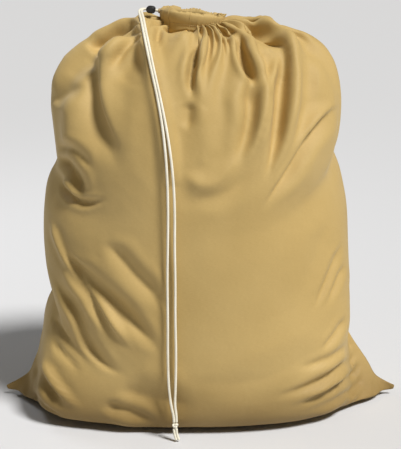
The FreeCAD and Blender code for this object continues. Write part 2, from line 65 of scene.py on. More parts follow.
camera = bpy.data.objects.new("camera", bpy.data.cameras.new("camera"))
scene.collection.objects.link(camera)
scene.camera = camera
camera.location = EYE
camera.rotation_euler = (AIM - EYE).to_track_quat("-Z", "Y").to_euler()
camera.data.sensor_fit = "VERTICAL"
camera.data.sensor_height = SENSOR
camera.data.lens = SENSOR * DISTANCE / VIEW_HEIGHT
camera.data.shift_y = FRAME_SHIFT


def seen(points):
    """Where the front view shows the points, on the upright plane through the middle."""
    eye = np.array(EYE)
    share = eye[1] / (eye[1] - points[..., 1])
    flat = eye + share[..., None] * (points - eye)
    return flat[..., [0, 2]]


# ---- Materials
def material(name):
    """A material, its shader, and a function that adds and wires nodes."""
    result = bpy.data.materials.new(name)
    result.use_nodes = True
    tree = result.node_tree
    shader = tree.nodes["Principled BSDF"]

    def node(kind, inputs=None, **settings):
        made = tree.nodes.new(f"ShaderNode{kind}")
        for key, value in settings.items():
            setattr(made, key, value)
        for key, value in (inputs or {}).items():
            if isinstance(value, bpy.types.NodeSocket):
                tree.links.new(value, made.inputs[key])
            else:
                made.inputs[key].default_value = value
        return made

    def wire(output, name):
        tree.links.new(output, shader.inputs[name])

    return result, shader, node, wire


def ramp(node, factor, *stops):
    """The colour that a factor picks between the stops, each a position and a colour."""
    made = node("ValToRGB", {"Fac": factor})
    elements = made.color_ramp.elements
    while len(elements) < len(stops):
        elements.new(0.5)
    for element, (at, color) in zip(elements, stops):
        element.position = at
        element.color = (*color, 1)
    return made.outputs["Color"]


# the foot's darkening: slight soil plus painted shade near the floor
SOIL_AND_SHADE_FROM, SOIL_AND_SHADE_TO = 0.02, 0.145  # metres above the floor
SOIL_AND_SHADE_TINT = (0.42, 0.37, 0.28)  # what the foot's colour is multiplied by
NO_SOIL_OR_SHADE = (1.0, 1.0, 1.0)
KHAKI_LIGHT = (0.555, 0.395, 0.155)
KHAKI_DARK = (0.455, 0.312, 0.108)
TWILL_SCALE = 420.0
TWILL_ANGLE = math.radians(58)


def cloth_material():
    result, shader, node, wire = material("khaki_twill")
    place = node("TexCoord").outputs["Object"]
    cut = node("Attribute", attribute_name="cut").outputs["Vector"]
    broad = node("TexNoise", {"Vector": place, "Scale": 5.0, "Detail": 3.0})
    slub = node("Mapping", {"Vector": cut, "Scale": (180.0, 1400.0, 1.0)})
    slubs = node("TexNoise", {"Vector": slub.outputs[0], "Scale": 1.0, "Detail": 2.0})
    mottle = node(
        "Mix",
        {"Factor": 0.35, "A": broad.outputs["Fac"], "B": slubs.outputs["Fac"]},
        data_type="FLOAT",
    )
    color = ramp(node, mottle.outputs[0], (0.32, KHAKI_DARK), (0.68, KHAKI_LIGHT))
    # the foot is darker by height: slight soil plus painted shade near the floor
    height = node("SeparateXYZ", {"Vector": place}).outputs["Z"]
    ragged = node("TexNoise", {"Vector": place, "Scale": 9.0, "Detail": 4.0}).outputs["Fac"]
    foot = node("Math", {0: ragged, 1: 0.05, 2: height}, operation="MULTIPLY_ADD").outputs[0]
    # painted shade mixed with slight soil: the cloth's colour darkens towards the floor
    soil_and_shade = node("MapRange", {"Value": foot, "From Min": SOIL_AND_SHADE_FROM, "From Max": SOIL_AND_SHADE_TO})
    soil_and_shade_color = ramp(node, soil_and_shade.outputs[0], (0.0, SOIL_AND_SHADE_TINT), (1.0, NO_SOIL_OR_SHADE))
    # 0, 6, 7 and 2 are the mix node's factor, two colours and mixed colour
    mixed = node("Mix", {0: 1.0, 6: color, 7: soil_and_shade_color}, data_type="RGBA", blend_type="MULTIPLY")
    color = mixed.outputs[2]
    wire(color, "Base Color")
    twill = node("Mapping", {"Vector": cut, "Rotation": (0.0, 0.0, TWILL_ANGLE)})
    ribs = node(
        "TexWave",
        {"Vector": twill.outputs[0], "Scale": TWILL_SCALE, "Distortion": 0.4, "Detail": 1.0},
        bands_direction="X",
    )
    grain = node("TexNoise", {"Vector": cut, "Scale": 900.0, "Detail": 2.0})
    relief = node(
        "Mix",
        {"Factor": 0.4, "A": ribs.outputs["Fac"], "B": grain.outputs["Fac"]},
        data_type="FLOAT",
    )
    fine = node("Bump", {"Height": relief.outputs[0], "Strength": 0.16, "Distance": 0.0003})
    pucker = node("TexNoise", {"Vector": place, "Scale": 38.0, "Detail": 3.0})
    soft = node(
        "Bump",
        {
            "Height": pucker.outputs["Fac"],
            "Strength": 0.22,
            "Distance": 0.004,
            "Normal": fine.outputs[0],
        },
    )
    wire(soft.outputs[0], "Normal")
    rough = node("MapRange", {"Value": mottle.outputs[0], "To Min": 0.72, "To Max": 0.58})
    wire(rough.outputs[0], "Roughness")
    shader.inputs["Sheen Weight"].default_value = 0.15
    shader.inputs["Sheen Roughness"].default_value = 0.45
    shader.inputs["Sheen Tint"].default_value = (0.9, 0.84, 0.62, 1)
    shader.inputs["Specular IOR Level"].default_value = 0.35
    return result


def thread_material():
    result, shader, node, wire = material("sewing_thread")
    place = node("TexCoord").outputs["Object"]
    twist = node("TexNoise", {"Vector": place, "Scale": 1500.0, "Detail": 2.0})
    dark, light = (0.36, 0.25, 0.11), (0.52, 0.38, 0.18)
    wire(ramp(node, twist.outputs["Fac"], (0.3, dark), (0.7, light)), "Base Color")
    bump = node("Bump", {"Height": twist.outputs["Fac"], "Strength": 0.3, "Distance": 0.0002})
    wire(bump.outputs[0], "Normal")
    shader.inputs["Roughness"].default_value = 0.6
    return result


def cord_material():
    result, shader, node, wire = material("braided_cord")
    place = node("TexCoord").outputs["Object"]
    lay = node("Attribute", attribute_name="cut").outputs["Vector"]
    fibre = node("Mapping", {"Vector": lay, "Scale": (900.0, 5.0, 1.0)})
    fibres = node("TexNoise", {"Vector": fibre.outputs[0], "Scale": 1.0, "Detail": 3.0})
    stain = node("TexNoise", {"Vector": place, "Scale": 30.0, "Detail": 2.0})
    mixed = node(
        "Mix",
        {"Factor": 0.4, "A": fibres.outputs["Fac"], "B": stain.outputs["Fac"]},
        data_type="FLOAT",
    )
    dark, light = (0.72, 0.66, 0.50), (0.90, 0.87, 0.76)
    wire(ramp(node, mixed.outputs[0], (0.3, dark), (0.62, light)), "Base Color")
    bump = node("Bump", {"Height": fibres.outputs["Fac"], "Strength": 0.35, "Distance": 0.0003})
    wire(bump.outputs[0], "Normal")
    shader.inputs["Roughness"].default_value = 0.7
    shader.inputs["Sheen Weight"].default_value = 0.2
    return result


def plastic_material():
    result, _, node, wire = material("black_plastic")
    place = node("TexCoord").outputs["Object"]
    grain = node("TexNoise", {"Vector": place, "Scale": 1800.0, "Detail": 3.0})
    wear = node("TexNoise", {"Vector": place, "Scale": 240.0, "Detail": 4.0})
    dark, light = (0.010, 0.010, 0.011), (0.028, 0.027, 0.026)
    wire(ramp(node, wear.outputs["Fac"], (0.35, dark), (0.75, light)), "Base Color")
    rough = node("MapRange", {"Value": wear.outputs["Fac"], "To Min": 0.26, "To Max": 0.46})
    wire(rough.outputs[0], "Roughness")
    bump = node("Bump", {"Height": grain.outputs["Fac"], "Strength": 0.2, "Distance": 0.0001})
    wire(bump.outputs[0], "Normal")
    return result


def steel_material():
    result, shader, node, wire = material("spring_steel")
    place = node("TexCoord").outputs["Object"]
    drawn = node("TexNoise", {"Vector": place, "Scale": 2500.0, "Detail": 2.0})
    dark, light = (0.42, 0.42, 0.43), (0.64, 0.64, 0.64)
    wire(ramp(node, drawn.outputs["Fac"], (0.3, dark), (0.7, light)), "Base Color")
    rough = node("MapRange", {"Value": drawn.outputs["Fac"], "To Min": 0.25, "To Max": 0.42})
    wire(rough.outputs[0], "Roughness")
    shader.inputs["Metallic"].default_value = 1.0
    return result


cloth_look = cloth_material()
thread_look = thread_material()
cord_look = cord_material()
plastic_look = plastic_material()
steel_look = steel_material()

# The CAD nodes that stay as they are
for name, look in (
    ("lock_barrel", plastic_look),
    ("lock_plunger", plastic_look),
    ("lock_spring", steel_look),
    ("exit_binding", thread_look),
    ("drawstring_loop", cord_look),
):
    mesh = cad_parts[name].data
    mesh.materials.clear()
    mesh.materials.append(look)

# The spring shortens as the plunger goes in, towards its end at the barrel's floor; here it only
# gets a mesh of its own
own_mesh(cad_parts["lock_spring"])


# ---- Meshes from grids of points
def mesh_object(name, points, faces, look, cut=None):
    """A smooth mesh; cut says where each point lies on the flat cloth or along the cord."""
    mesh = bpy.data.meshes.new(name)
    mesh.from_pydata(points.reshape(-1, 3).tolist(), [], faces)
    if cut is not None:
        layer = mesh.attributes.new("cut", "FLOAT_VECTOR", "POINT")
        layer.data.foreach_set("vector", cut.reshape(-1, 3).astype(np.float32).ravel())
    for polygon in mesh.polygons:
        polygon.use_smooth = True
    mesh.materials.append(look)
    mesh.update()
    result = bpy.data.objects.new(name, mesh)
    scene.collection.objects.link(result)
    return result


def grid_faces(rows, columns, first=0, wrap=False, flip=False):
    """The quads of a grid of rows x columns points."""
    faces = []
    for row in range(rows - 1):
        for column in range(columns if wrap else columns - 1):
            on = (column + 1) % columns
            a, b = first + row * columns + column, first + row * columns + on
            quad = [a, b, b + columns, a + columns]
            faces.append(quad[::-1] if flip else quad)
    return faces


def grid_normals(grid):
    """The unit normals of a grid whose rows are closed rings."""
    across = np.roll(grid, -1, 1) - np.roll(grid, 1, 1)
    normal = np.cross(across, np.gradient(grid, axis=0))
    return normal / (np.linalg.norm(normal, axis=2, keepdims=True) + 1e-9)


def shell(name, outer, inner, look, cut):
    """A closed sheet between two grids of the same shape."""
    rows, columns = outer.shape[:2]
    count = rows * columns
    faces = grid_faces(rows, columns) + grid_faces(rows, columns, count, flip=True)
    index = np.arange(count).reshape(rows, columns)
    rim = [*index[0, :], *index[1:, -1], *index[-1, -2::-1], *index[-2:0:-1, 0]]
    for a, b in zip(rim, rim[1:] + rim[:1]):
        faces.append([int(a), int(a + count), int(b + count), int(b)])
    points = np.stack([outer, inner])
    return mesh_object(name, points, faces, look, np.stack([cut, cut]))


def cloth_normals(grid):
    """The normals of a grid of rings, pointing outwards."""
    normal = grid_normals(grid)
    middle = len(grid) // 2
    if ((grid[middle] - grid[middle].mean(0)) * normal[middle]).sum() < 0:
        normal = -normal
    return normal


def finer(grid):
    """Twice as many rows and columns, through the same points. Its rows are closed rings."""

    def between(g, closed):
        if closed:
            before, after, far = np.roll(g, 1, 0), np.roll(g, -1, 0), np.roll(g, -2, 0)
            middle = (9 * (g + after) - before - far) / 16
            out = np.empty((2 * len(g), *g.shape[1:]))
            out[0::2], out[1::2] = g, middle
            return out
        padded = np.concatenate([2 * g[:1] - g[1:2], g, 2 * g[-1:] - g[-2:-1]])
        middle = (9 * (g[:-1] + g[1:]) - padded[:-3] - padded[3:]) / 16
        out = np.empty((2 * len(g) - 1, *g.shape[1:]))
        out[0::2], out[1::2] = g, middle
        return out

    return between(between(grid, False).swapaxes(0, 1), True).swapaxes(0, 1)


# ---- The cloth: two panels, each COLUMNS by ROWS quads, from the bottom seam to the neck
PANEL_WIDTH = 0.762
PANEL_LENGTH = 0.962
COLUMNS = 96
ROWS = 112
AROUND = 2 * COLUMNS  # columns round the bag: the front from the left, then the back
GIRTH = 2 * PANEL_WIDTH
BACK_LAYER = 0.001  # what tells the back from the front in the cut

# The side seams, as x and z in metres, and the panels' middle lines, as y and z
RIGHT_SIDE = (
    (0.353, 0.018), (0.334, 0.027), (0.316, 0.040), (0.304, 0.066), (0.288, 0.089),
    (0.273, 0.112), (0.262, 0.136), (0.260, 0.180), (0.265, 0.224), (0.262, 0.247),
    (0.259, 0.290), (0.257, 0.356), (0.247, 0.400), (0.238, 0.432), (0.222, 0.460),
    (0.220, 0.478), (0.234, 0.500), (0.243, 0.522), (0.244, 0.560), (0.240, 0.592),
    (0.231, 0.615), (0.216, 0.638), (0.192, 0.656), (0.155, 0.671), (0.115, 0.677), (0.082, 0.680),
    (0.054, 0.680), (0.040, 0.671), (0.035, 0.659),
)
LEFT_SIDE = (
    (-0.353, 0.018), (-0.334, 0.028), (-0.310, 0.043), (-0.302, 0.066), (-0.292, 0.089),
    (-0.284, 0.134), (-0.279, 0.175), (-0.262, 0.203), (-0.238, 0.222), (-0.262, 0.244),
    (-0.275, 0.290), (-0.275, 0.350), (-0.268, 0.405), (-0.242, 0.444), (-0.247, 0.475),
    (-0.253, 0.515), (-0.258, 0.550), (-0.252, 0.585), (-0.237, 0.612), (-0.217, 0.632),
    (-0.192, 0.648), (-0.158, 0.665), (-0.130, 0.680), (-0.104, 0.683), (-0.084, 0.680),
    (-0.066, 0.671),
)
FRONT_MIDDLE = (
    (0.0, 0.004), (-0.120, 0.003), (-0.156, 0.003), (-0.175, 0.010), (-0.187, 0.032),
    (-0.193, 0.066), (-0.197, 0.120), (-0.199, 0.200), (-0.199, 0.300), (-0.196, 0.400),
    (-0.187, 0.480), (-0.172, 0.550), (-0.150, 0.600), (-0.120, 0.637), (-0.088, 0.660),
    (-0.050, 0.665),
)
BACK_MIDDLE = (
    (0.0, 0.004), (0.110, 0.003), (0.140, 0.007), (0.158, 0.030), (0.176, 0.095),
    (0.190, 0.190), (0.196, 0.300), (0.196, 0.400), (0.188, 0.480), (0.174, 0.550),
    (0.150, 0.600), (0.120, 0.637), (0.088, 0.660), (0.050, 0.665),
)


def smooth_line(points, rounds=3):
    """The points with their corners cut off, as an array."""
    line = np.array(points, float)
    for _ in range(rounds):
        near, far = 0.75 * line[:-1] + 0.25 * line[1:], 0.25 * line[:-1] + 0.75 * line[1:]
        cut = np.empty((2 * len(near), line.shape[1]))
        cut[0::2], cut[1::2] = near, far
        line = np.vstack([line[:1], cut, line[-1:]])
    return line


def spaced(line, shares):
    """Points at the given shares of the line's length."""
    steps = np.linalg.norm(np.diff(line, axis=0), axis=1)
    along = np.concatenate([[0], np.cumsum(steps)])
    at = np.asarray(shares) * along[-1]
    return np.stack([np.interp(at, along, line[:, k]) for k in range(line.shape[1])], -1)


def eased(start, length, value):
    """From 0 to 1 as the value goes from start over the length, with soft ends."""
    share = np.clip((value - start) / length, 0, 1)
    return share**2 * (3 - 2 * share)


rise = np.linspace(0, 1, ROWS + 1)  # each row's share of the way from the seam to the neck
near_neck = eased(0.80, 0.18, rise)
right, left = spaced(smooth_line(RIGHT_SIDE), rise), spaced(smooth_line(LEFT_SIDE), rise)


def panel_surface(middle, crowd_at, crowding):
    """A smooth panel: each row runs from the left side seam over the middle to the right.
    Towards the neck its columns crowd together at one share of its width."""
    middle = spaced(smooth_line(middle), rise)
    turn = np.linspace(0, math.pi, 181)
    share = np.linspace(0, 1, COLUMNS + 1)
    # powers of the section's sine: 1 is an ellipse, and a low one is nearly a box
    boxy = np.interp(rise, [0, 0.04, 0.19, 0.27, 0.4, 1], [0.9, 0.14, 0.16, 0.42, 0.92, 1.0])
    rounder = np.interp(rise, [0, 0.05, 0.2, 0.35], [0, 0.06, 0.35, 0])  # more on the right
    level = np.interp(rise, [0, 0.04, 0.19, 0.34, 1], [0.3, 0.09, 0.12, 0.9, 1.0])
    rows = []
    for k in range(ROWS + 1):
        half = (right[k, 0] - left[k, 0]) / 2
        x = (right[k, 0] + left[k, 0]) / 2 - half * np.cos(turn)
        y = middle[k, 0] * np.sin(turn) ** (boxy[k] + rounder[k] * turn / math.pi)
        z = np.interp(x, [left[k, 0], right[k, 0]], [left[k, 1], right[k, 1]])
        z = z + (middle[k, 1] - z) * np.sin(turn) ** level[k]
        swing = np.sin(2 * np.pi * (share - crowd_at)) + math.sin(2 * np.pi * crowd_at)
        crowded = share - crowding * near_neck[k] / (2 * np.pi) * swing
        rows.append(spaced(np.stack([x, y, z], -1), crowded))
    return np.array(rows)


front_form = panel_surface(FRONT_MIDDLE, crowd_at=0.68, crowding=0.62)
back_form = panel_surface(BACK_MIDDLE, crowd_at=0.35, crowding=0.40)
form = np.concatenate([front_form, back_form[:, ::-1][:, 1:-1]], 1)
outward = cloth_normals(form)
outward[0] = outward[1]

# The cut: where each point lies on the flat cloth
cut = np.zeros_like(form)
half_way = np.linspace(-PANEL_WIDTH / 2, PANEL_WIDTH / 2, COLUMNS + 1)
cut[..., 0] = np.concatenate([half_way, half_way[::-1][1:-1]])
cut[..., 1] = (rise * PANEL_LENGTH)[:, None]
cut[:, COLUMNS + 1 :, 2] = BACK_LAYER

# ---- Gathers: pleats that take up the cloth's spare width towards the neck
NECK_PLEATS = 27
BODY_PLEATS = 13
UNEVENNESS = 0.014  # how far a pleat may wander, as a share of the way round
GATHER_SHARE = 0.62  # of the depth that would take up all of the spare width


def pleats(count, wander):
    """Uneven waves round the bag, from -1 to 0."""
    turn = np.arange(AROUND) / AROUND
    warp = turn.copy()
    for k, (phase, size) in enumerate(wander, start=1):
        warp = warp + size * np.sin(2 * np.pi * k * turn + phase)
    return (np.sin(2 * np.pi * count * warp) - 1) / 2


def uneven():
    return [(rng.uniform(0, 2 * np.pi), UNEVENNESS * rng.uniform(0.3, 1)) for _ in range(5)]


def hump(value, middle, width):
    """1 at the middle, and falling off on both sides of it."""
    return np.exp(-(((value - middle) / width) ** 2))


perimeter = np.linalg.norm(np.roll(form, -1, 1) - form, axis=2).sum(1)
fullness = np.sqrt(np.maximum((GIRTH / perimeter) ** 2 - 1, 0))
fine = pleats(NECK_PLEATS, uneven())
coarse = pleats(BODY_PLEATS, uneven())
to_neck = eased(0.86, 0.12, rise)
fine_depth = perimeter / NECK_PLEATS * fullness / 2 * to_neck
coarse_depth = perimeter / BODY_PLEATS * fullness / 2
coarse_depth *= (1 - to_neck) * np.clip((rise - 0.42) / 0.35, 0, 1)
front = np.zeros(AROUND)
front[: COLUMNS + 1] = np.sin(np.linspace(0, np.pi, COLUMNS + 1))
calm = 1 - 0.65 * front  # the front's own folds are placed one by one below
calm = calm * (1 - 0.65 * hump(np.arange(AROUND), COLUMNS, 15))  # a smoother right shoulder
smoother = np.ones(AROUND)  # the hem's left front is nearly flat
smoother[: COLUMNS + 1] = 1 - 0.62 * hump(np.linspace(0, 1, COLUMNS + 1), 0.24, 0.17)
gathers = fine_depth[:, None] * (fine + 0.5) * GATHER_SHARE * smoother
gathers = gathers + coarse_depth[:, None] * (coarse + 0.3) * GATHER_SHARE * calm

# Each fold of the front, as the front view shows it on the upright plane through the
# middle: height in mm (a hollow is negative), half width in mm, lean, and its line in mm.
# A lean above 0 makes the side to the left of the line's direction the wider one.
FOLDS = (
    # pocket under the left peak
    (-15, 9, 0, ((-197, 635), (-179, 633), (-159, 641), (-138, 655), (-101, 668))),
    # ridge to the left body
    (8, 12, 0.3, (
        (-103, 666), (-134, 645), (-154, 626), (-166, 604), (-170, 577), (-167, 550), (-161, 514),
        (-150, 480), (-133, 450),
    )),
    # sharp valley beside the cord
    (-8, 6, 0, ((-94, 659), (-114, 645), (-132, 626), (-147, 604), (-152, 586))),
    # hollow of the left body
    (-8, 22, 0, (
        (-161, 622), (-180, 593), (-188, 559), (-184, 519), (-171, 480), (-155, 445), (-140, 408),
    )),
    # under the left bulge
    (-4, 12, 0, ((-262, 533), (-241, 548), (-219, 558), (-196, 569))),
    # left notch crease
    (-8, 8, 0.3, ((-250, 444), (-235, 429), (-222, 408), (-207, 378), (-198, 366))),
    # above the left notch
    (-4, 9, 0, ((-252, 457), (-228, 457), (-206, 441), (-188, 415))),
    # small ridge under the notch
    (4, 5, 0, ((-238, 404), (-223, 378), (-207, 360))),
    # small valley under the notch
    (-5, 6, 0, ((-244, 397), (-232, 376), (-219, 364), (-201, 357), (-161, 366))),
    # curved tuck beside the cord
    (-6, 5, 0, ((-77, 636), (-74, 648), (-68, 663), (-63, 667))),
    # tuck under the hem
    (-11, 4.5, -0.5, ((-67, 662), (-51, 664), (-34, 666), (-20, 664), (-2, 658))),
    # flap over the tuck
    (7, 8, 0, ((-63, 670), (-42, 675), (-26, 680), (-10, 688))),
    # middle crease
    (-9, 6, -0.3, ((-1, 662), (-3, 642), (-7, 621), (-12, 594), (-16, 565), (-12, 545), (-5, 541))),
    # middle ridge
    (5, 7, -0.2, ((6, 660), (4, 627), (0, 594), (-1, 565), (3, 534))),
    # soft valley under the middle crease
    (-4, 10, 0, ((-18, 537), (-23, 507), (-20, 484))),
    # v crease
    (-7, 4.5, 0, ((25, 670), (35, 659), (43, 650), (52, 656), (68, 656))),
    # deep valley
    (-14, 7, 0, ((68, 656), (71, 626), (80, 600), (91, 577), (100, 565))),
    # long hollow
    (-8, 13, 0, ((82, 577), (88, 537), (85, 496), (73, 457), (57, 422))),
    # ridge from the neck
    (9, 8, 0, (
        (55, 674), (67, 660), (77, 639), (88, 611), (102, 591), (108, 564), (109, 532), (102, 491),
        (91, 457), (73, 420),
    )),
    # pocket under the big fold
    (-15, 9, 0, ((70, 668), (89, 660), (106, 650), (124, 641), (138, 634), (136, 622))),
    # big fold
    (10, 10, 0.2, (
        (50, 677), (82, 674), (115, 666), (137, 656), (153, 639), (158, 617), (160, 582),
        (159, 537), (150, 491), (141, 457), (128, 422), (110, 376),
    )),
    # hollow inside the big fold
    (-9, 9, 0, (
        (144, 633), (147, 617), (145, 593), (139, 559), (138, 514), (134, 468), (123, 422),
        (112, 380),
    )),
    # ridge inside the big fold
    (5, 7, 0, ((136, 620), (126, 595), (119, 559), (115, 514), (109, 480), (91, 422))),
    # narrow hollow inside
    (-4, 6, 0, ((118, 568), (115, 532), (108, 491), (95, 455))),
    # crease on the right shoulder
    (-8, 6, 0, ((113, 673), (133, 665), (160, 656), (178, 643), (193, 638))),
    # ridge on the right shoulder
    (4, 7, 0, ((124, 677), (151, 666), (177, 653), (196, 639))),
    # right notch fold
    (-8, 8, 0.45, (
        (244, 529), (225, 522), (208, 503), (196, 486), (181, 466), (170, 443), (155, 415),
        (139, 392), (119, 364), (106, 340),
    )),
    # ridge over the right notch fold
    (4, 12, 0, ((234, 537), (199, 507), (174, 478), (159, 450), (139, 413))),
    # bright swag
    (4, 15, 0, ((-32, 415), (-9, 394), (11, 387), (34, 399), (55, 427), (68, 461))),
    # shade under the swag
    (-2, 14, 0, ((-18, 366), (11, 366), (50, 376), (84, 406), (104, 445))),
    # three diagonal valleys of the lower left
    (-8, 13, 0, (
        (-241, 269), (-216, 237), (-190, 207), (-159, 179), (-128, 146), (-97, 110), (-63, 72),
    )),
    (-5, 12, 0, ((-176, 288), (-147, 267), (-122, 234), (-96, 207), (-70, 174), (-52, 146))),
    (-6, 8, 0, ((-246, 277), (-226, 242), (-206, 204), (-186, 168), (-165, 130), (-144, 93))),
    # ridge between the valleys
    (4, 7, 0, ((-234, 256), (-211, 218), (-178, 168), (-142, 113), (-116, 77))),
    # left edge ridge
    (4, 5, 0, ((-264, 331), (-256, 296), (-246, 267), (-226, 229), (-210, 200))),
    # crease from the lower notch
    (-7, 9, 0.4, (
        (-259, 222), (-243, 185), (-228, 157), (-218, 130), (-208, 99), (-190, 71), (-162, 46),
        (-133, 31),
    )),
    # thin creases
    (-3, 4, 0, ((-267, 152), (-255, 130), (-243, 110), (-227, 91))),
    (-3, 5, 0, ((-266, 113), (-254, 85), (-231, 60), (-215, 31))),
    # corner ridge
    (5, 7, 0, ((-288, 71), (-277, 37), (-259, 9), (-240, -11), (-214, -31))),
    # corner valleys
    (-5, 7, 0, ((-297, 60), (-286, 29), (-267, -1), (-246, -23))),
    (-5, 6, 0, ((-308, 9), (-294, -20), (-273, -37), (-247, -44))),
    # fold over the floor
    (-6, 10, 0, ((-184, -19), (-147, -29), (-112, -43), (-66, -59))),
    # underside
    (-6, 22, 0, ((-152, 11), (-112, -6), (-58, -16), (-1, -26))),
    # soft diagonal
    (-1.6, 14, 0, ((222, 328), (208, 269), (188, 210), (172, 160))),
    # thin diagonals
    (-3.5, 5, 0, ((251, 288), (230, 229), (214, 188), (200, 155))),
    (-3, 5, 0, ((255, 248), (243, 215), (226, 168))),
    # corner crease
    (-4, 5, 0, ((262, 149), (246, 119), (228, 93), (216, 78))),
    # curved creases of the right corner
    (-4, 6, 0, ((275, 105), (247, 74), (207, 57), (168, 44))),
    (-5, 7, 0, ((284, 82), (250, 43), (211, 20), (168, 3), (128, -7))),
    (-5, 6, 0, ((291, 63), (264, 26), (230, -1), (169, -26))),
    (-4, 6, 0, ((298, 40), (273, 6), (223, -23), (183, -37))),
    # ridge between them
    (4, 6, 0, ((287, 72), (256, 34), (216, 9), (169, -10))),
    # lower shade
    (-2.5, 22, 0, ((246, 91), (181, 60), (114, 26), (48, 17), (-19, 34))),
)


DRAPED_SHARE = 0.6  # of the placed folds' height, before the simulation
FINAL_SHARE = 1.2  # the same, after it
PER_METRE = 1000  # millimetres
FADE_IN, FADE_OUT = 0.24, 0.42  # shares of a fold's line


def fold_relief(points, normals):
    """How far the placed folds move each point of the front along its normal."""
    view = seen(points)
    facing = np.einsum("...k,...k", normals, np.array(EYE) - points)
    facing = facing / np.linalg.norm(np.array(EYE) - points, axis=-1)
    seen_share = np.clip((facing + 0.05) / 0.3, 0, 1) * (points[..., 1] < 0.04)
    relief = np.zeros(points.shape[:-1])
    for height, width, lean, line in FOLDS:
        route = spaced(smooth_line(line, 2), np.linspace(0, 1, 25)) / PER_METRE
        width = width / PER_METRE
        low, high = route.min(0) - 4 * width, route.max(0) + 4 * width
        near = ((view > low) & (view < high)).all(-1) & (seen_share > 0)
        spots = view[near]
        if not len(spots):
            continue
        start, run = route[:-1], np.diff(route, axis=0)
        offset = spots[:, None] - start
        share = np.clip((offset * run).sum(-1) / (run**2).sum(-1), 0, 1)
        away = offset - share[..., None] * run
        distance = np.linalg.norm(away, axis=-1)
        nearest = distance.argmin(1)
        rows = np.arange(len(spots))
        distance = distance[rows, nearest]
        along = (nearest + share[rows, nearest]) / len(run)
        run, away = run[nearest], away[rows, nearest]
        side = np.sign(run[:, 0] * away[:, 1] - run[:, 1] * away[:, 0])
        fade = eased(0, 1, np.minimum(along / FADE_IN, (1 - along) / FADE_OUT))
        spread = width * (1 + lean * side) * (0.6 + 0.4 * fade)  # narrower towards its ends
        profile = np.exp(-((distance / spread) ** 1.6))
        profile -= 0.25 * hump(distance, 2.2 * spread, spread)  # the dip on both sides
        relief[near] += height / PER_METRE * fade * profile
    return relief * seen_share


def neighbours_mean(field, rounds):
    """The field evened out over neighbouring points, round the bag and up it."""
    for _ in range(rounds):
        field = (2 * field + np.roll(field, 1, 1) + np.roll(field, -1, 1)) / 4
        inner = (2 * field[1:-1] + field[:-2] + field[2:]) / 4
        field = np.concatenate([field[:1], inner, field[-1:]])
    return field


waves = gathers + DRAPED_SHARE * fold_relief(form, outward)
draped = form + outward * waves[..., None]
draped[..., 2] = np.maximum(draped[..., 2], 0.003)

# ---- Cloth simulation: the sack settles on its filling and on the floor
SETTLE_FRAMES = 26
MOST_SETTLED = 0.016  # metres that a point may move
COLLISION_GAP = 0.003
GROUND_REACH = 2.0
PINNED_ROWS = 6  # at the foot of each side seam, so that the corners stand out


def ring_index():
    """Vertex numbers by row and column; the two panels share the bottom seam's points."""
    index = np.arange((ROWS + 1) * AROUND).reshape(ROWS + 1, AROUND)
    back = np.arange(COLUMNS + 1, AROUND)
    index[0, back] = index[0, AROUND - back]
    used, packed = np.unique(index, return_inverse=True)
    return used, packed.reshape(index.shape)


def sack_faces(index):
    """The sack's quads, and a triangle where two of a quad's corners are one point."""
    faces = []
    for row in range(ROWS):
        for column in range(AROUND):
            on = (column + 1) % AROUND
            quad = [index[row, column], index[row, on], index[row + 1, on]]
            quad.append(index[row + 1, column])
            faces.append([int(v) for v in dict.fromkeys(quad)])
    return faces


def collider(name, points, faces):
    """Something that the cloth rests on while it settles."""
    body = mesh_object(name, points, faces, cloth_look)
    body.modifiers.new("collision", "COLLISION")
    body.collision.thickness_outer = COLLISION_GAP
    body.collision.cloth_friction = 8
    body.collision.damping = 0.8
    return body


def square(reach, height):
    """The corners of a level square round the middle."""
    signs = ((-1, -1), (1, -1), (1, 1), (-1, 1))
    return np.array([(x * reach, y * reach, height) for x, y in signs])


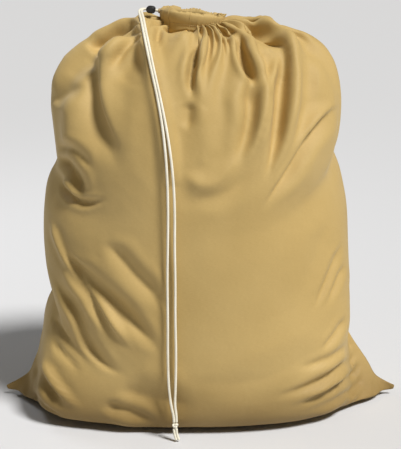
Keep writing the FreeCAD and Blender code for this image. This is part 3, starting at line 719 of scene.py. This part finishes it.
def settled(start):
    """The cloth's points after it has settled. Only the points are kept."""
    used, index = ring_index()
    faces = sack_faces(index)
    hold_in = 0.006 + 0.012 * np.clip((rise - 0.5) / 0.2, 0, 1)
    hold_in = hold_in[:, None] - np.minimum(waves, 0)
    filling = form - outward * neighbours_mean(hold_in, 3)[..., None]
    filling[..., 2] = np.maximum(filling[..., 2], 0.002)
    stuffing = collider("stuffing", filling.reshape(-1, 3)[used], faces)
    ground = collider("ground", square(GROUND_REACH, -0.002), [[0, 1, 2, 3]])
    sack = mesh_object("sack", start.reshape(-1, 3)[used], faces, cloth_look)
    sack.shape_key_add(name="Basis")
    flat = sack.shape_key_add(name="flat")
    flat.data.foreach_set("co", cut[..., [0, 2, 1]].reshape(-1, 3)[used].ravel())
    held = sack.vertex_groups.new(name="held")
    pins = {int(v) for v in index[-1]}
    for row in range(PINNED_ROWS):
        for column in (*range(-2, 3), *range(COLUMNS - 2, COLUMNS + 3)):
            pins.add(int(index[row, column]))
    held.add(sorted(pins), 1.0, "REPLACE")
    cloth = sack.modifiers.new("cloth", "CLOTH")
    s = cloth.settings
    s.quality, s.mass, s.air_damping = 6, 0.05, 2
    s.tension_stiffness = s.compression_stiffness = 25
    s.shear_stiffness, s.bending_stiffness = 8, 0.08
    s.tension_damping = s.compression_damping = 8
    s.shear_damping, s.bending_damping = 5, 0.5
    s.vertex_group_mass, s.pin_stiffness = "held", 1
    s.rest_shape_key = flat
    s.effector_weights.gravity = 0.8
    c = cloth.collision_settings
    c.use_collision, c.use_self_collision = True, False
    c.distance_min, c.collision_quality = COLLISION_GAP, 2
    cloth.point_cache.frame_end = SETTLE_FRAMES
    scene.frame_start, scene.frame_end = 1, SETTLE_FRAMES
    for step in range(1, SETTLE_FRAMES + 1):
        scene.frame_set(step)
    done = sack.evaluated_get(bpy.context.evaluated_depsgraph_get()).to_mesh()
    points = np.empty(3 * len(done.vertices))
    done.vertices.foreach_get("co", points)
    points = points.reshape(-1, 3)[index]
    scene.frame_set(1)
    for thing in (stuffing, ground, sack):
        mesh = thing.data
        bpy.data.objects.remove(thing)
        bpy.data.meshes.remove(mesh)
    return points


def capped(move, most):
    """The moves, with none longer than most."""
    far = np.linalg.norm(move, axis=-1, keepdims=True)
    return move * np.tanh(far / most) * most / np.maximum(far, 1e-9)


move = neighbours_mean(capped(settled(draped) - draped, MOST_SETTLED), 2)
# the broad part of the move is mostly taken off, so the outline stays as placed
move = move - 0.85 * neighbours_mean(move, 60)
# the corners, which stand out as ears, keep their shape
from_side = np.abs((np.arange(AROUND) + COLUMNS // 2) % COLUMNS - COLUMNS // 2)
up_seam = np.arange(ROWS + 1)[:, None]
corner = np.maximum(1 - from_side / 16, 0) * np.maximum(1 - up_seam / 20, 0)
draped = draped + move * (1 - np.clip(3 * corner, 0, 1))[..., None]

# Finer cloth, with the placed folds sharpened
cloth = finer(draped)
cut = finer(cut)
half = AROUND  # columns of one panel, now that there are twice as many
cut[:, : half + 1, 0] = np.linspace(-PANEL_WIDTH / 2, PANEL_WIDTH / 2, half + 1)
cut[:, half:, 0] = np.linspace(PANEL_WIDTH / 2, -PANEL_WIDTH / 2, half + 1)[:-1]
cut[:, : half + 1, 2] = 0
cut[:, half + 1 :, 2] = BACK_LAYER


# The shoulder rises behind the lock
PEAK, PEAK_REACH, PEAK_HEIGHT = np.array((-0.104, 0.031)), np.array((0.026, 0.017)), 0.010
PEAK_FADE_ROWS = 8  # over which it comes to nothing at the hem
UPPER_PART = 0.5  # metres above the floor
peak = PEAK_HEIGHT * np.exp(-(((cloth[..., :2] - PEAK) / PEAK_REACH) ** 2).sum(-1))
below_hem = np.arange(len(cloth))[::-1, None] / PEAK_FADE_ROWS
cloth[..., 2] += peak * np.clip(below_hem, 0, 1) * (cloth[..., 2] > UPPER_PART)

even = neighbours_mean(cloth, 6)
even_normals = cloth_normals(even)
relief = fold_relief(even, even_normals)
cloth = cloth + even_normals * (FINAL_SHARE * relief)[..., None]

# ---- The drawstring's routes, from part.py, in metres
LEFT_ROUTE = (
    (-0.09169, 0.0021, 0.69366),
    (-0.0958, 0.0021, 0.69416),
    (-0.0999, -0.0002, 0.6936),
    (-0.1028, -0.0052, 0.692),
    (-0.1033, -0.0128, 0.6894),
    (-0.1018, -0.0235, 0.686),
    (-0.0984, -0.043, 0.6796),
    (-0.0941, -0.077, 0.6672),
    (-0.0883, -0.1165, 0.6496),
    (-0.0789, -0.1455, 0.6115),
    (-0.0666, -0.172, 0.563),
    (-0.0575, -0.1895, 0.51),
    (-0.0524, -0.1995, 0.452),
    (-0.051, -0.2028, 0.394),
    (-0.052, -0.2038, 0.335),
    (-0.0532, -0.2041, 0.275),
    (-0.0526, -0.2036, 0.216),
    (-0.0532, -0.2032, 0.157),
    (-0.0524, -0.2029, 0.101),
    (-0.0486, -0.203, 0.064),
    (-0.0437, -0.203, 0.044),
    (-0.0437, -0.203, 0.0335),
)
RIGHT_ROUTE = (
    (-0.09169, -0.0021, 0.69366),
    (-0.095, -0.0021, 0.69407),
    (-0.0977, -0.004, 0.6933),
    (-0.0991, -0.0078, 0.692),
    (-0.0991, -0.0134, 0.6901),
    (-0.0975, -0.023, 0.687),
    (-0.0941, -0.0435, 0.6804),
    (-0.0898, -0.0775, 0.6676),
    (-0.0838, -0.1175, 0.6494),
    (-0.0744, -0.147, 0.6105),
    (-0.0621, -0.1735, 0.562),
    (-0.0506, -0.191, 0.507),
    (-0.043, -0.2004, 0.449),
    (-0.0403, -0.2035, 0.391),
    (-0.0412, -0.2043, 0.332),
    (-0.0402, -0.2046, 0.272),
    (-0.0408, -0.2041, 0.213),
    (-0.0396, -0.2036, 0.154),
    (-0.0406, -0.2031, 0.098),
    (-0.0422, -0.2029, 0.064),
    (-0.0395, -0.203, 0.046),
    (-0.0395, -0.203, 0.0335),
)
LEFT_TAIL_ROUTE = (
    (-0.0437, -0.203, 0.0225),
    (-0.0437, -0.203, 0.017),
    (-0.0422, -0.2036, 0.0095),
    (-0.0399, -0.2044, 0.0028),
)
RIGHT_TAIL_ROUTE = (
    (-0.0395, -0.203, 0.0225),
    (-0.0395, -0.203, 0.0166),
    (-0.038, -0.2034, 0.0094),
    (-0.0355, -0.204, 0.003),
)
KNOT_MIDDLE = Vector((-0.0416, -0.203, 0.028))
CORD_RADIUS = 0.002
PAIR_HALF = 0.0021


def route_line(points):
    """The smooth line that the route's points control."""
    curve = bpy.data.curves.new("route", "CURVE")
    curve.dimensions = "3D"
    curve.resolution_u = 24
    spline = curve.splines.new("NURBS")
    spline.points.add(len(points) - 1)
    for point, place in zip(spline.points, points):
        point.co = (*place, 1)
    spline.order_u = 3
    spline.use_endpoint_u = True
    holder = bpy.data.objects.new("route", curve)
    mesh = bpy.data.meshes.new_from_object(holder)
    line = np.array([v.co for v in mesh.vertices])
    bpy.data.objects.remove(holder)
    bpy.data.curves.remove(curve)
    bpy.data.meshes.remove(mesh)
    return line


def length_of(line):
    return float(np.linalg.norm(np.diff(line, axis=0), axis=1).sum())


STRANDS_IN_BRAID = 6
BRAID_PITCH = 0.013  # metres along the cord, for three waves of the braid
BRAID_RELIEF = 0.045  # share of the cord's radius
RING_POINTS = 20


def cord_tube(name, line, radius=CORD_RADIUS, step=0.0009):
    """A braided round cord along a line."""
    length = length_of(line)
    count = max(int(length / step), 4)
    path = spaced(line, np.linspace(0, 1, count + 1))
    ahead = np.gradient(path, axis=0)
    ahead /= np.linalg.norm(ahead, axis=1, keepdims=True)
    side = np.cross(ahead[0], (0.3, 0.5, 0.8))
    side /= np.linalg.norm(side)
    sides = []
    for direction in ahead:
        side = side - direction * (side @ direction)
        side = side / np.linalg.norm(side)
        sides.append(side)
    sides = np.array(sides)
    up = np.cross(ahead, sides)
    turn = np.linspace(0, 2 * np.pi, RING_POINTS, endpoint=False)
    along = np.linspace(0, length, count + 1)
    advance = 2 * np.pi * along[:, None] / BRAID_PITCH * 3
    one_way = np.cos(STRANDS_IN_BRAID * turn + advance)
    other_way = np.cos(STRANDS_IN_BRAID * turn - advance)
    wide = radius * (1 + BRAID_RELIEF * np.maximum(one_way, other_way))
    wide[[0, -1]] *= 0.86
    ring = np.cos(turn)[None, :, None] * sides[:, None]
    ring = ring + np.sin(turn)[None, :, None] * up[:, None]
    points = path[:, None] + wide[..., None] * ring
    lay = np.zeros_like(points)
    lay[..., 0] = turn * radius
    lay[..., 1] = along[:, None]
    faces = grid_faces(count + 1, RING_POINTS, wrap=True)
    faces.append(list(range(RING_POINTS))[::-1])
    faces.append(list(range(count * RING_POINTS, (count + 1) * RING_POINTS)))
    return mesh_object(name, points, faces, cord_look, lay)


left_line, right_line = route_line(LEFT_ROUTE), route_line(RIGHT_ROUTE)

CORD_GAP = 0.0010  # metres between a strand and the cloth behind it
MOST_MET = 0.016  # metres that the cloth may come forward to meet a strand
GROOVE_HALF = 0.011


def meet_cords(grid, lines):
    """The cloth, moved so that the strands lie on it at the shoulder and clear it below."""
    toward = np.array(EYE) - grid
    toward /= np.linalg.norm(toward, axis=-1, keepdims=True)
    view = seen(grid)
    for line in lines:
        trail = spaced(line, np.linspace(0, 1, 400))
        trail = trail[(trail[:, 1] < -0.020) & (trail[:, 2] > 0.05)]
        shown = seen(trail)
        close = view[..., 0] > shown[:, 0].min() - 0.03
        close &= view[..., 0] < shown[:, 0].max() + 0.03
        close &= grid[..., 1] < -0.01
        spots = view[close]
        gap = np.linalg.norm(spots[:, None] - shown[None], axis=-1)
        nearest = gap.argmin(1)
        gap = gap[np.arange(len(spots)), nearest]
        cord_at = trail[nearest]
        depth = ((cord_at - grid[close]) * toward[close]).sum(-1)  # cord ahead of cloth
        rests = np.clip((cord_at[:, 2] - 0.43) / 0.06, 0, 1)
        move = depth - (CORD_RADIUS + CORD_GAP)
        move = np.where(move > 0, np.minimum(move, MOST_MET) * rests, move)
        weight = hump(gap, 0, GROOVE_HALF)
        shift = np.zeros(grid.shape[:-1])
        shift[close] = move * weight
        grid = grid + toward * shift[..., None]
    return grid


CLOTH_THICK = 0.0012
LOWEST_OUTSIDE, LOWEST_INSIDE = 0.0016, 0.0006  # metres above the floor
for _ in range(2):
    cloth = meet_cords(cloth, (left_line, right_line))
cloth[..., 2] = np.maximum(cloth[..., 2], LOWEST_OUTSIDE)
normal = cloth_normals(cloth)
inner = cloth - normal * CLOTH_THICK
inner[..., 2] = np.maximum(inner[..., 2], LOWEST_INSIDE)
for name, columns in (
    ("front_cloth", np.arange(half + 1)),
    ("back_cloth", np.arange(half, 2 * half + 1) % (2 * half)),
):
    node = name.replace("cloth", "panel")
    panel = shell(name, cloth[:, columns], inner[:, columns], cloth_look, cut[:, columns])
    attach(panel, "bag")
    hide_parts(node)

# ---- The gathered hem, in the mouth's own frame
MOUTH = Matrix.Translation((-0.015, 0, 0.6782)) @ Matrix.Rotation(math.radians(7), 4, "Y")
MOUTH_TURN, MOUTH_MIDDLE = np.array(MOUTH.to_3x3()), np.array(MOUTH.translation)
CASING_RADIUS = 0.050
STITCH_LEVEL, CORD_LEVEL, EDGE_START, HEM_TOP = -0.013, 0.006, 0.0095, 0.013
PLEAT_DEPTH = 0.0075
HEM_THICK = 0.0007
HEM_AROUND = 0.056  # metres of cloth up one side of the hem and down the other


def to_world(local):
    return local @ MOUTH_TURN.T + MOUTH_MIDDLE


def to_mouth(points):
    return (points - MOUTH_MIDDLE) @ MOUTH_TURN


top = to_mouth(cloth[-1])
angle = np.arctan2(top[:, 1], top[:, 0])
reach = np.hypot(top[:, 0], top[:, 1])
wave = np.clip((reach - reach.mean()) / (reach.max() - reach.min()) * 2, -1, 1)
jitter = rng.normal(0, 1, len(top))
jitter = np.clip((jitter + np.roll(jitter, 1) + np.roll(jitter, -1)) / 3, -1, 1)

# One side of the hem's section, from the stitching up: height, share of the pleats
# that is left, and half the distance between its two layers
HEM_SECTION = (
    (-0.0130, 1.00, 0.0004),
    (-0.0105, 0.92, 0.0008),
    (-0.0070, 0.80, 0.0020),
    (-0.0030, 0.50, 0.0034),
    (0.0010, 0.32, 0.0044),
    (0.0045, 0.24, 0.0049),
    (0.0075, 0.22, 0.0049),
    (0.0098, 0.26, 0.0042),
    (0.0115, 0.50, 0.0026),
    (0.0128, 0.76, 0.0010),
    (0.0134, 0.80, 0.0003),
)


def hem_grid(outer):
    """One layer of the hem. The lowest row follows the panels' top edge."""
    rows = []
    for height, share, apart in HEM_SECTION:
        apart = apart if outer else -apart
        lean = 1 + 0.25 * np.clip((height - CORD_LEVEL) / 0.007, 0, 1)
        r = CASING_RADIUS + PLEAT_DEPTH * wave * share * lean + apart
        edge = min(max((height - EDGE_START) / (HEM_TOP - EDGE_START), 0), 1)
        h = height + 0.0012 * jitter * edge
        h = h + 0.0011 * edge * (np.sin(5 * angle + 1.0) + np.sin(8 * angle + 2.5))
        h = h - 0.0010 * edge * (0.5 + 0.5 * np.cos(angle + 0.5))
        if height <= STITCH_LEVEL:
            h, r = top[:, 2], reach + apart
        rows.append(to_world(np.stack([r * np.cos(angle), r * np.sin(angle), h], -1)))
    return rows


hem = np.array(hem_grid(True) + hem_grid(False)[::-1])
hem = finer(hem)
hem_columns = hem.shape[1]
hem_cut = np.zeros_like(hem)
hem_cut[..., 0] = np.linspace(0, GIRTH, hem_columns, endpoint=False)
hem_cut[..., 1] = np.linspace(0, HEM_AROUND, len(hem))[:, None]
hem_normal = grid_normals(hem)
hem_normal *= np.sign((hem_normal[4] * (hem[4] - hem.mean((0, 1)))).sum())
hem_inner = hem - hem_normal * HEM_THICK
for name, columns in (
    ("front_hem", np.arange(hem_columns // 2 + 1)),
    ("back_hem", np.arange(hem_columns // 2, hem_columns + 1) % hem_columns),
):
    piece = shell(name, hem[:, columns], hem_inner[:, columns], cloth_look, hem_cut[:, columns])
    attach(piece, "bag")
    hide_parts(name.replace("hem", "casing"))

# ---- Stitching under the hem, and the seam allowances inside
STITCH_LENGTH = 0.0026
STITCH_GAP = 0.0009
STITCH_RADIUS = 0.00045
STITCH_LIFT = 0.0003  # metres above the cloth
STITCH_SIDES = 6
STITCH_ROW = 3  # of the hem's grid
STITCH_SHAPE = ((0.0, 0.3), (0.25, 1.0), (0.75, 1.0), (1.0, 0.3))  # share of length and radius
STITCH_TURNS = np.linspace(0, 2 * np.pi, STITCH_SIDES, endpoint=False)
ring = np.vstack([hem[STITCH_ROW], hem[STITCH_ROW, :1]])
out = np.vstack([hem_normal[STITCH_ROW], hem_normal[STITCH_ROW, :1]])
steps = np.concatenate([[0], np.cumsum(np.linalg.norm(np.diff(ring, axis=0), axis=1))])
up = np.array(MOUTH.to_3x3() @ Vector((0, 0, 1)))
stitch_points, stitch_faces = [], []
at = 0.0
while at + STITCH_LENGTH < steps[-1]:
    first = len(stitch_points)
    for share, swell in STITCH_SHAPE:
        here = at + share * STITCH_LENGTH
        middle = np.array([np.interp(here, steps, ring[:, k]) for k in range(3)])
        away = np.array([np.interp(here, steps, out[:, k]) for k in range(3)])
        away /= np.linalg.norm(away)
        middle = middle + away * STITCH_LIFT
        for turn in STITCH_TURNS:
            side = math.cos(turn) * away + math.sin(turn) * up
            stitch_points.append(middle + STITCH_RADIUS * swell * side)
    stitch_faces += grid_faces(len(STITCH_SHAPE), STITCH_SIDES, first, wrap=True)
    stitch_faces.append(list(range(first, first + STITCH_SIDES))[::-1])
    stitch_faces.append(list(range(len(stitch_points) - STITCH_SIDES, len(stitch_points))))
    at += STITCH_LENGTH + STITCH_GAP
stitching = mesh_object("hem_stitching", np.array(stitch_points), stitch_faces, thread_look)
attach(stitching, "bag")
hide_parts("casing_stitching")

SEAM_ALLOWANCE = 0.010
SEAM_HALF = 0.0008  # half of its thickness
SEAM_CLEAR = 0.0022  # metres between the cloth and the allowance


def seam_strip(name, edge, inward, node):
    """A seam allowance: a strip that stands inwards from a line of the cloth."""
    ahead = np.gradient(edge, axis=0)
    ahead /= np.linalg.norm(ahead, axis=1, keepdims=True)
    inward = inward - ahead * (inward * ahead).sum(1, keepdims=True)
    inward /= np.linalg.norm(inward, axis=1, keepdims=True)
    flat = np.cross(ahead, inward)
    reach = np.array([SEAM_CLEAR, 0.0050, 0.0080, SEAM_CLEAR + SEAM_ALLOWANCE])
    curl = np.array([0.0, 0.0002, 0.0009, 0.0022])
    sheet = edge[:, None] + inward[:, None] * reach[None, :, None]
    sheet = sheet + flat[:, None] * curl[None, :, None]
    offset = flat[:, None] * SEAM_HALF
    lay = np.zeros_like(sheet)
    lay[..., 0] = reach
    lay[..., 1] = np.linspace(0, length_of(edge), len(edge))[:, None]
    strip = shell(name, sheet + offset, sheet - offset, cloth_look, lay)
    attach(strip, "bag")
    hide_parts(node)


SIDE_SEAM_ROWS = slice(14, -8)
CORNER_COLUMNS = 40  # left out at both ends of the bottom seam
for name, column in (("left_side_seam", 0), ("right_side_seam", half)):
    edge = neighbours_mean(cloth, 2)[SIDE_SEAM_ROWS, column]
    seam_strip(f"{name}_allowance", edge, -normal[SIDE_SEAM_ROWS, column], name)
edge = cloth[0, CORNER_COLUMNS : half - CORNER_COLUMNS].copy()
edge[:, 2] = LOWEST_OUTSIDE
upwards = np.tile((0.0, 0.0, 1.0), (len(edge), 1))
seam_strip("bottom_seam_allowance", edge, upwards, "bottom_seam")

# ---- The drawstring: two neck runs, two strands, the knot and two tails
# distances from the mouth's middle: inside the binding, just past it, and the lock's face
NECK_START, NECK_BEND, LOCK_FACE = 0.0572 - 0.004, 0.062, 0.0780
cords = {}
for side, sign, route, tail in (
    ("left", 1, left_line, LEFT_TAIL_ROUTE),
    ("right", -1, right_line, RIGHT_TAIL_ROUTE),
):
    places = (NECK_START, NECK_BEND, LOCK_FACE)
    run = [MOUTH @ Vector((-x, sign * PAIR_HALF, CORD_LEVEL)) for x in places]
    neck = cord_tube(f"{side}_neck_cord", np.array(run))
    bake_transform(neck)
    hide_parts(f"{side}_neck_run")
    strand = cord_tube(f"{side}_hanging_cord", route)
    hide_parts(f"{side}_strand")
    end = cord_tube(f"{side}_cord_end", route_line(tail))
    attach(end, "bag")
    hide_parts(f"{side}_tail")
    cords[side] = (strand, end, route)

KNOT_SIZE = 0.00118
KNOT_CORD_RADIUS = 0.0019  # pulled tight, so a little thinner than the rest
turns = np.linspace(0, 2 * np.pi, 97)
knot_line = np.stack(
    [
        KNOT_SIZE * (np.sin(turns) + 2 * np.sin(2 * turns)),
        1.5 * KNOT_SIZE * np.sin(3 * turns),
        KNOT_SIZE * (np.cos(turns) - 2 * np.cos(2 * turns)),
    ],
    -1,
) + np.array(KNOT_MIDDLE)
knot = cord_tube("cord_knot", knot_line, radius=KNOT_CORD_RADIUS, step=0.0006)
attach(knot, "bag")
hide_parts("end_knot")

for side, (strand, end, route) in cords.items():
    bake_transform(strand)

# ---- Floor and light
floor_look, floor_shader, _, _ = material("pale_floor")
floor_shader.inputs["Base Color"].default_value = (0.66, 0.67, 0.70, 1)
floor_shader.inputs["Roughness"].default_value = 0.9
FLOOR_REACH = 40.0
FLOOR_LEVEL = -0.0005
floor = mesh_object("floor", square(FLOOR_REACH, FLOOR_LEVEL), [[0, 1, 2, 3]], floor_look)

world = bpy.data.worlds.new("studio")
scene.world = world
world.use_nodes = True
background = world.node_tree.nodes["Background"]
background.inputs["Color"].default_value = (1.0, 0.95, 0.84, 1)
background.inputs["Strength"].default_value = 0.10
scene.view_settings.view_transform = "Standard"


def aimed(name, kind, place, target, power, color, **settings):
    """A light at a place, pointed at the target."""
    data = bpy.data.lights.new(name, kind)
    data.energy, data.color = power, color
    for key, value in settings.items():
        setattr(data, key, value)
    lamp = bpy.data.objects.new(name, data)
    scene.collection.objects.link(lamp)
    lamp.location = place
    lamp.rotation_euler = (Vector(target) - Vector(place)).to_track_quat("-Z", "Y").to_euler()


WARM, COOL = (1.0, 0.98, 0.94), (0.96, 0.98, 1.0)
aimed("key", "SUN", (1.05, -0.95, 2.3), AIM, 3.85, WARM, angle=math.radians(14))
aimed("rim", "AREA", (-1.3, 1.2, 1.9), (0.0, 0.0, 0.5), 9, COOL, size=0.8)
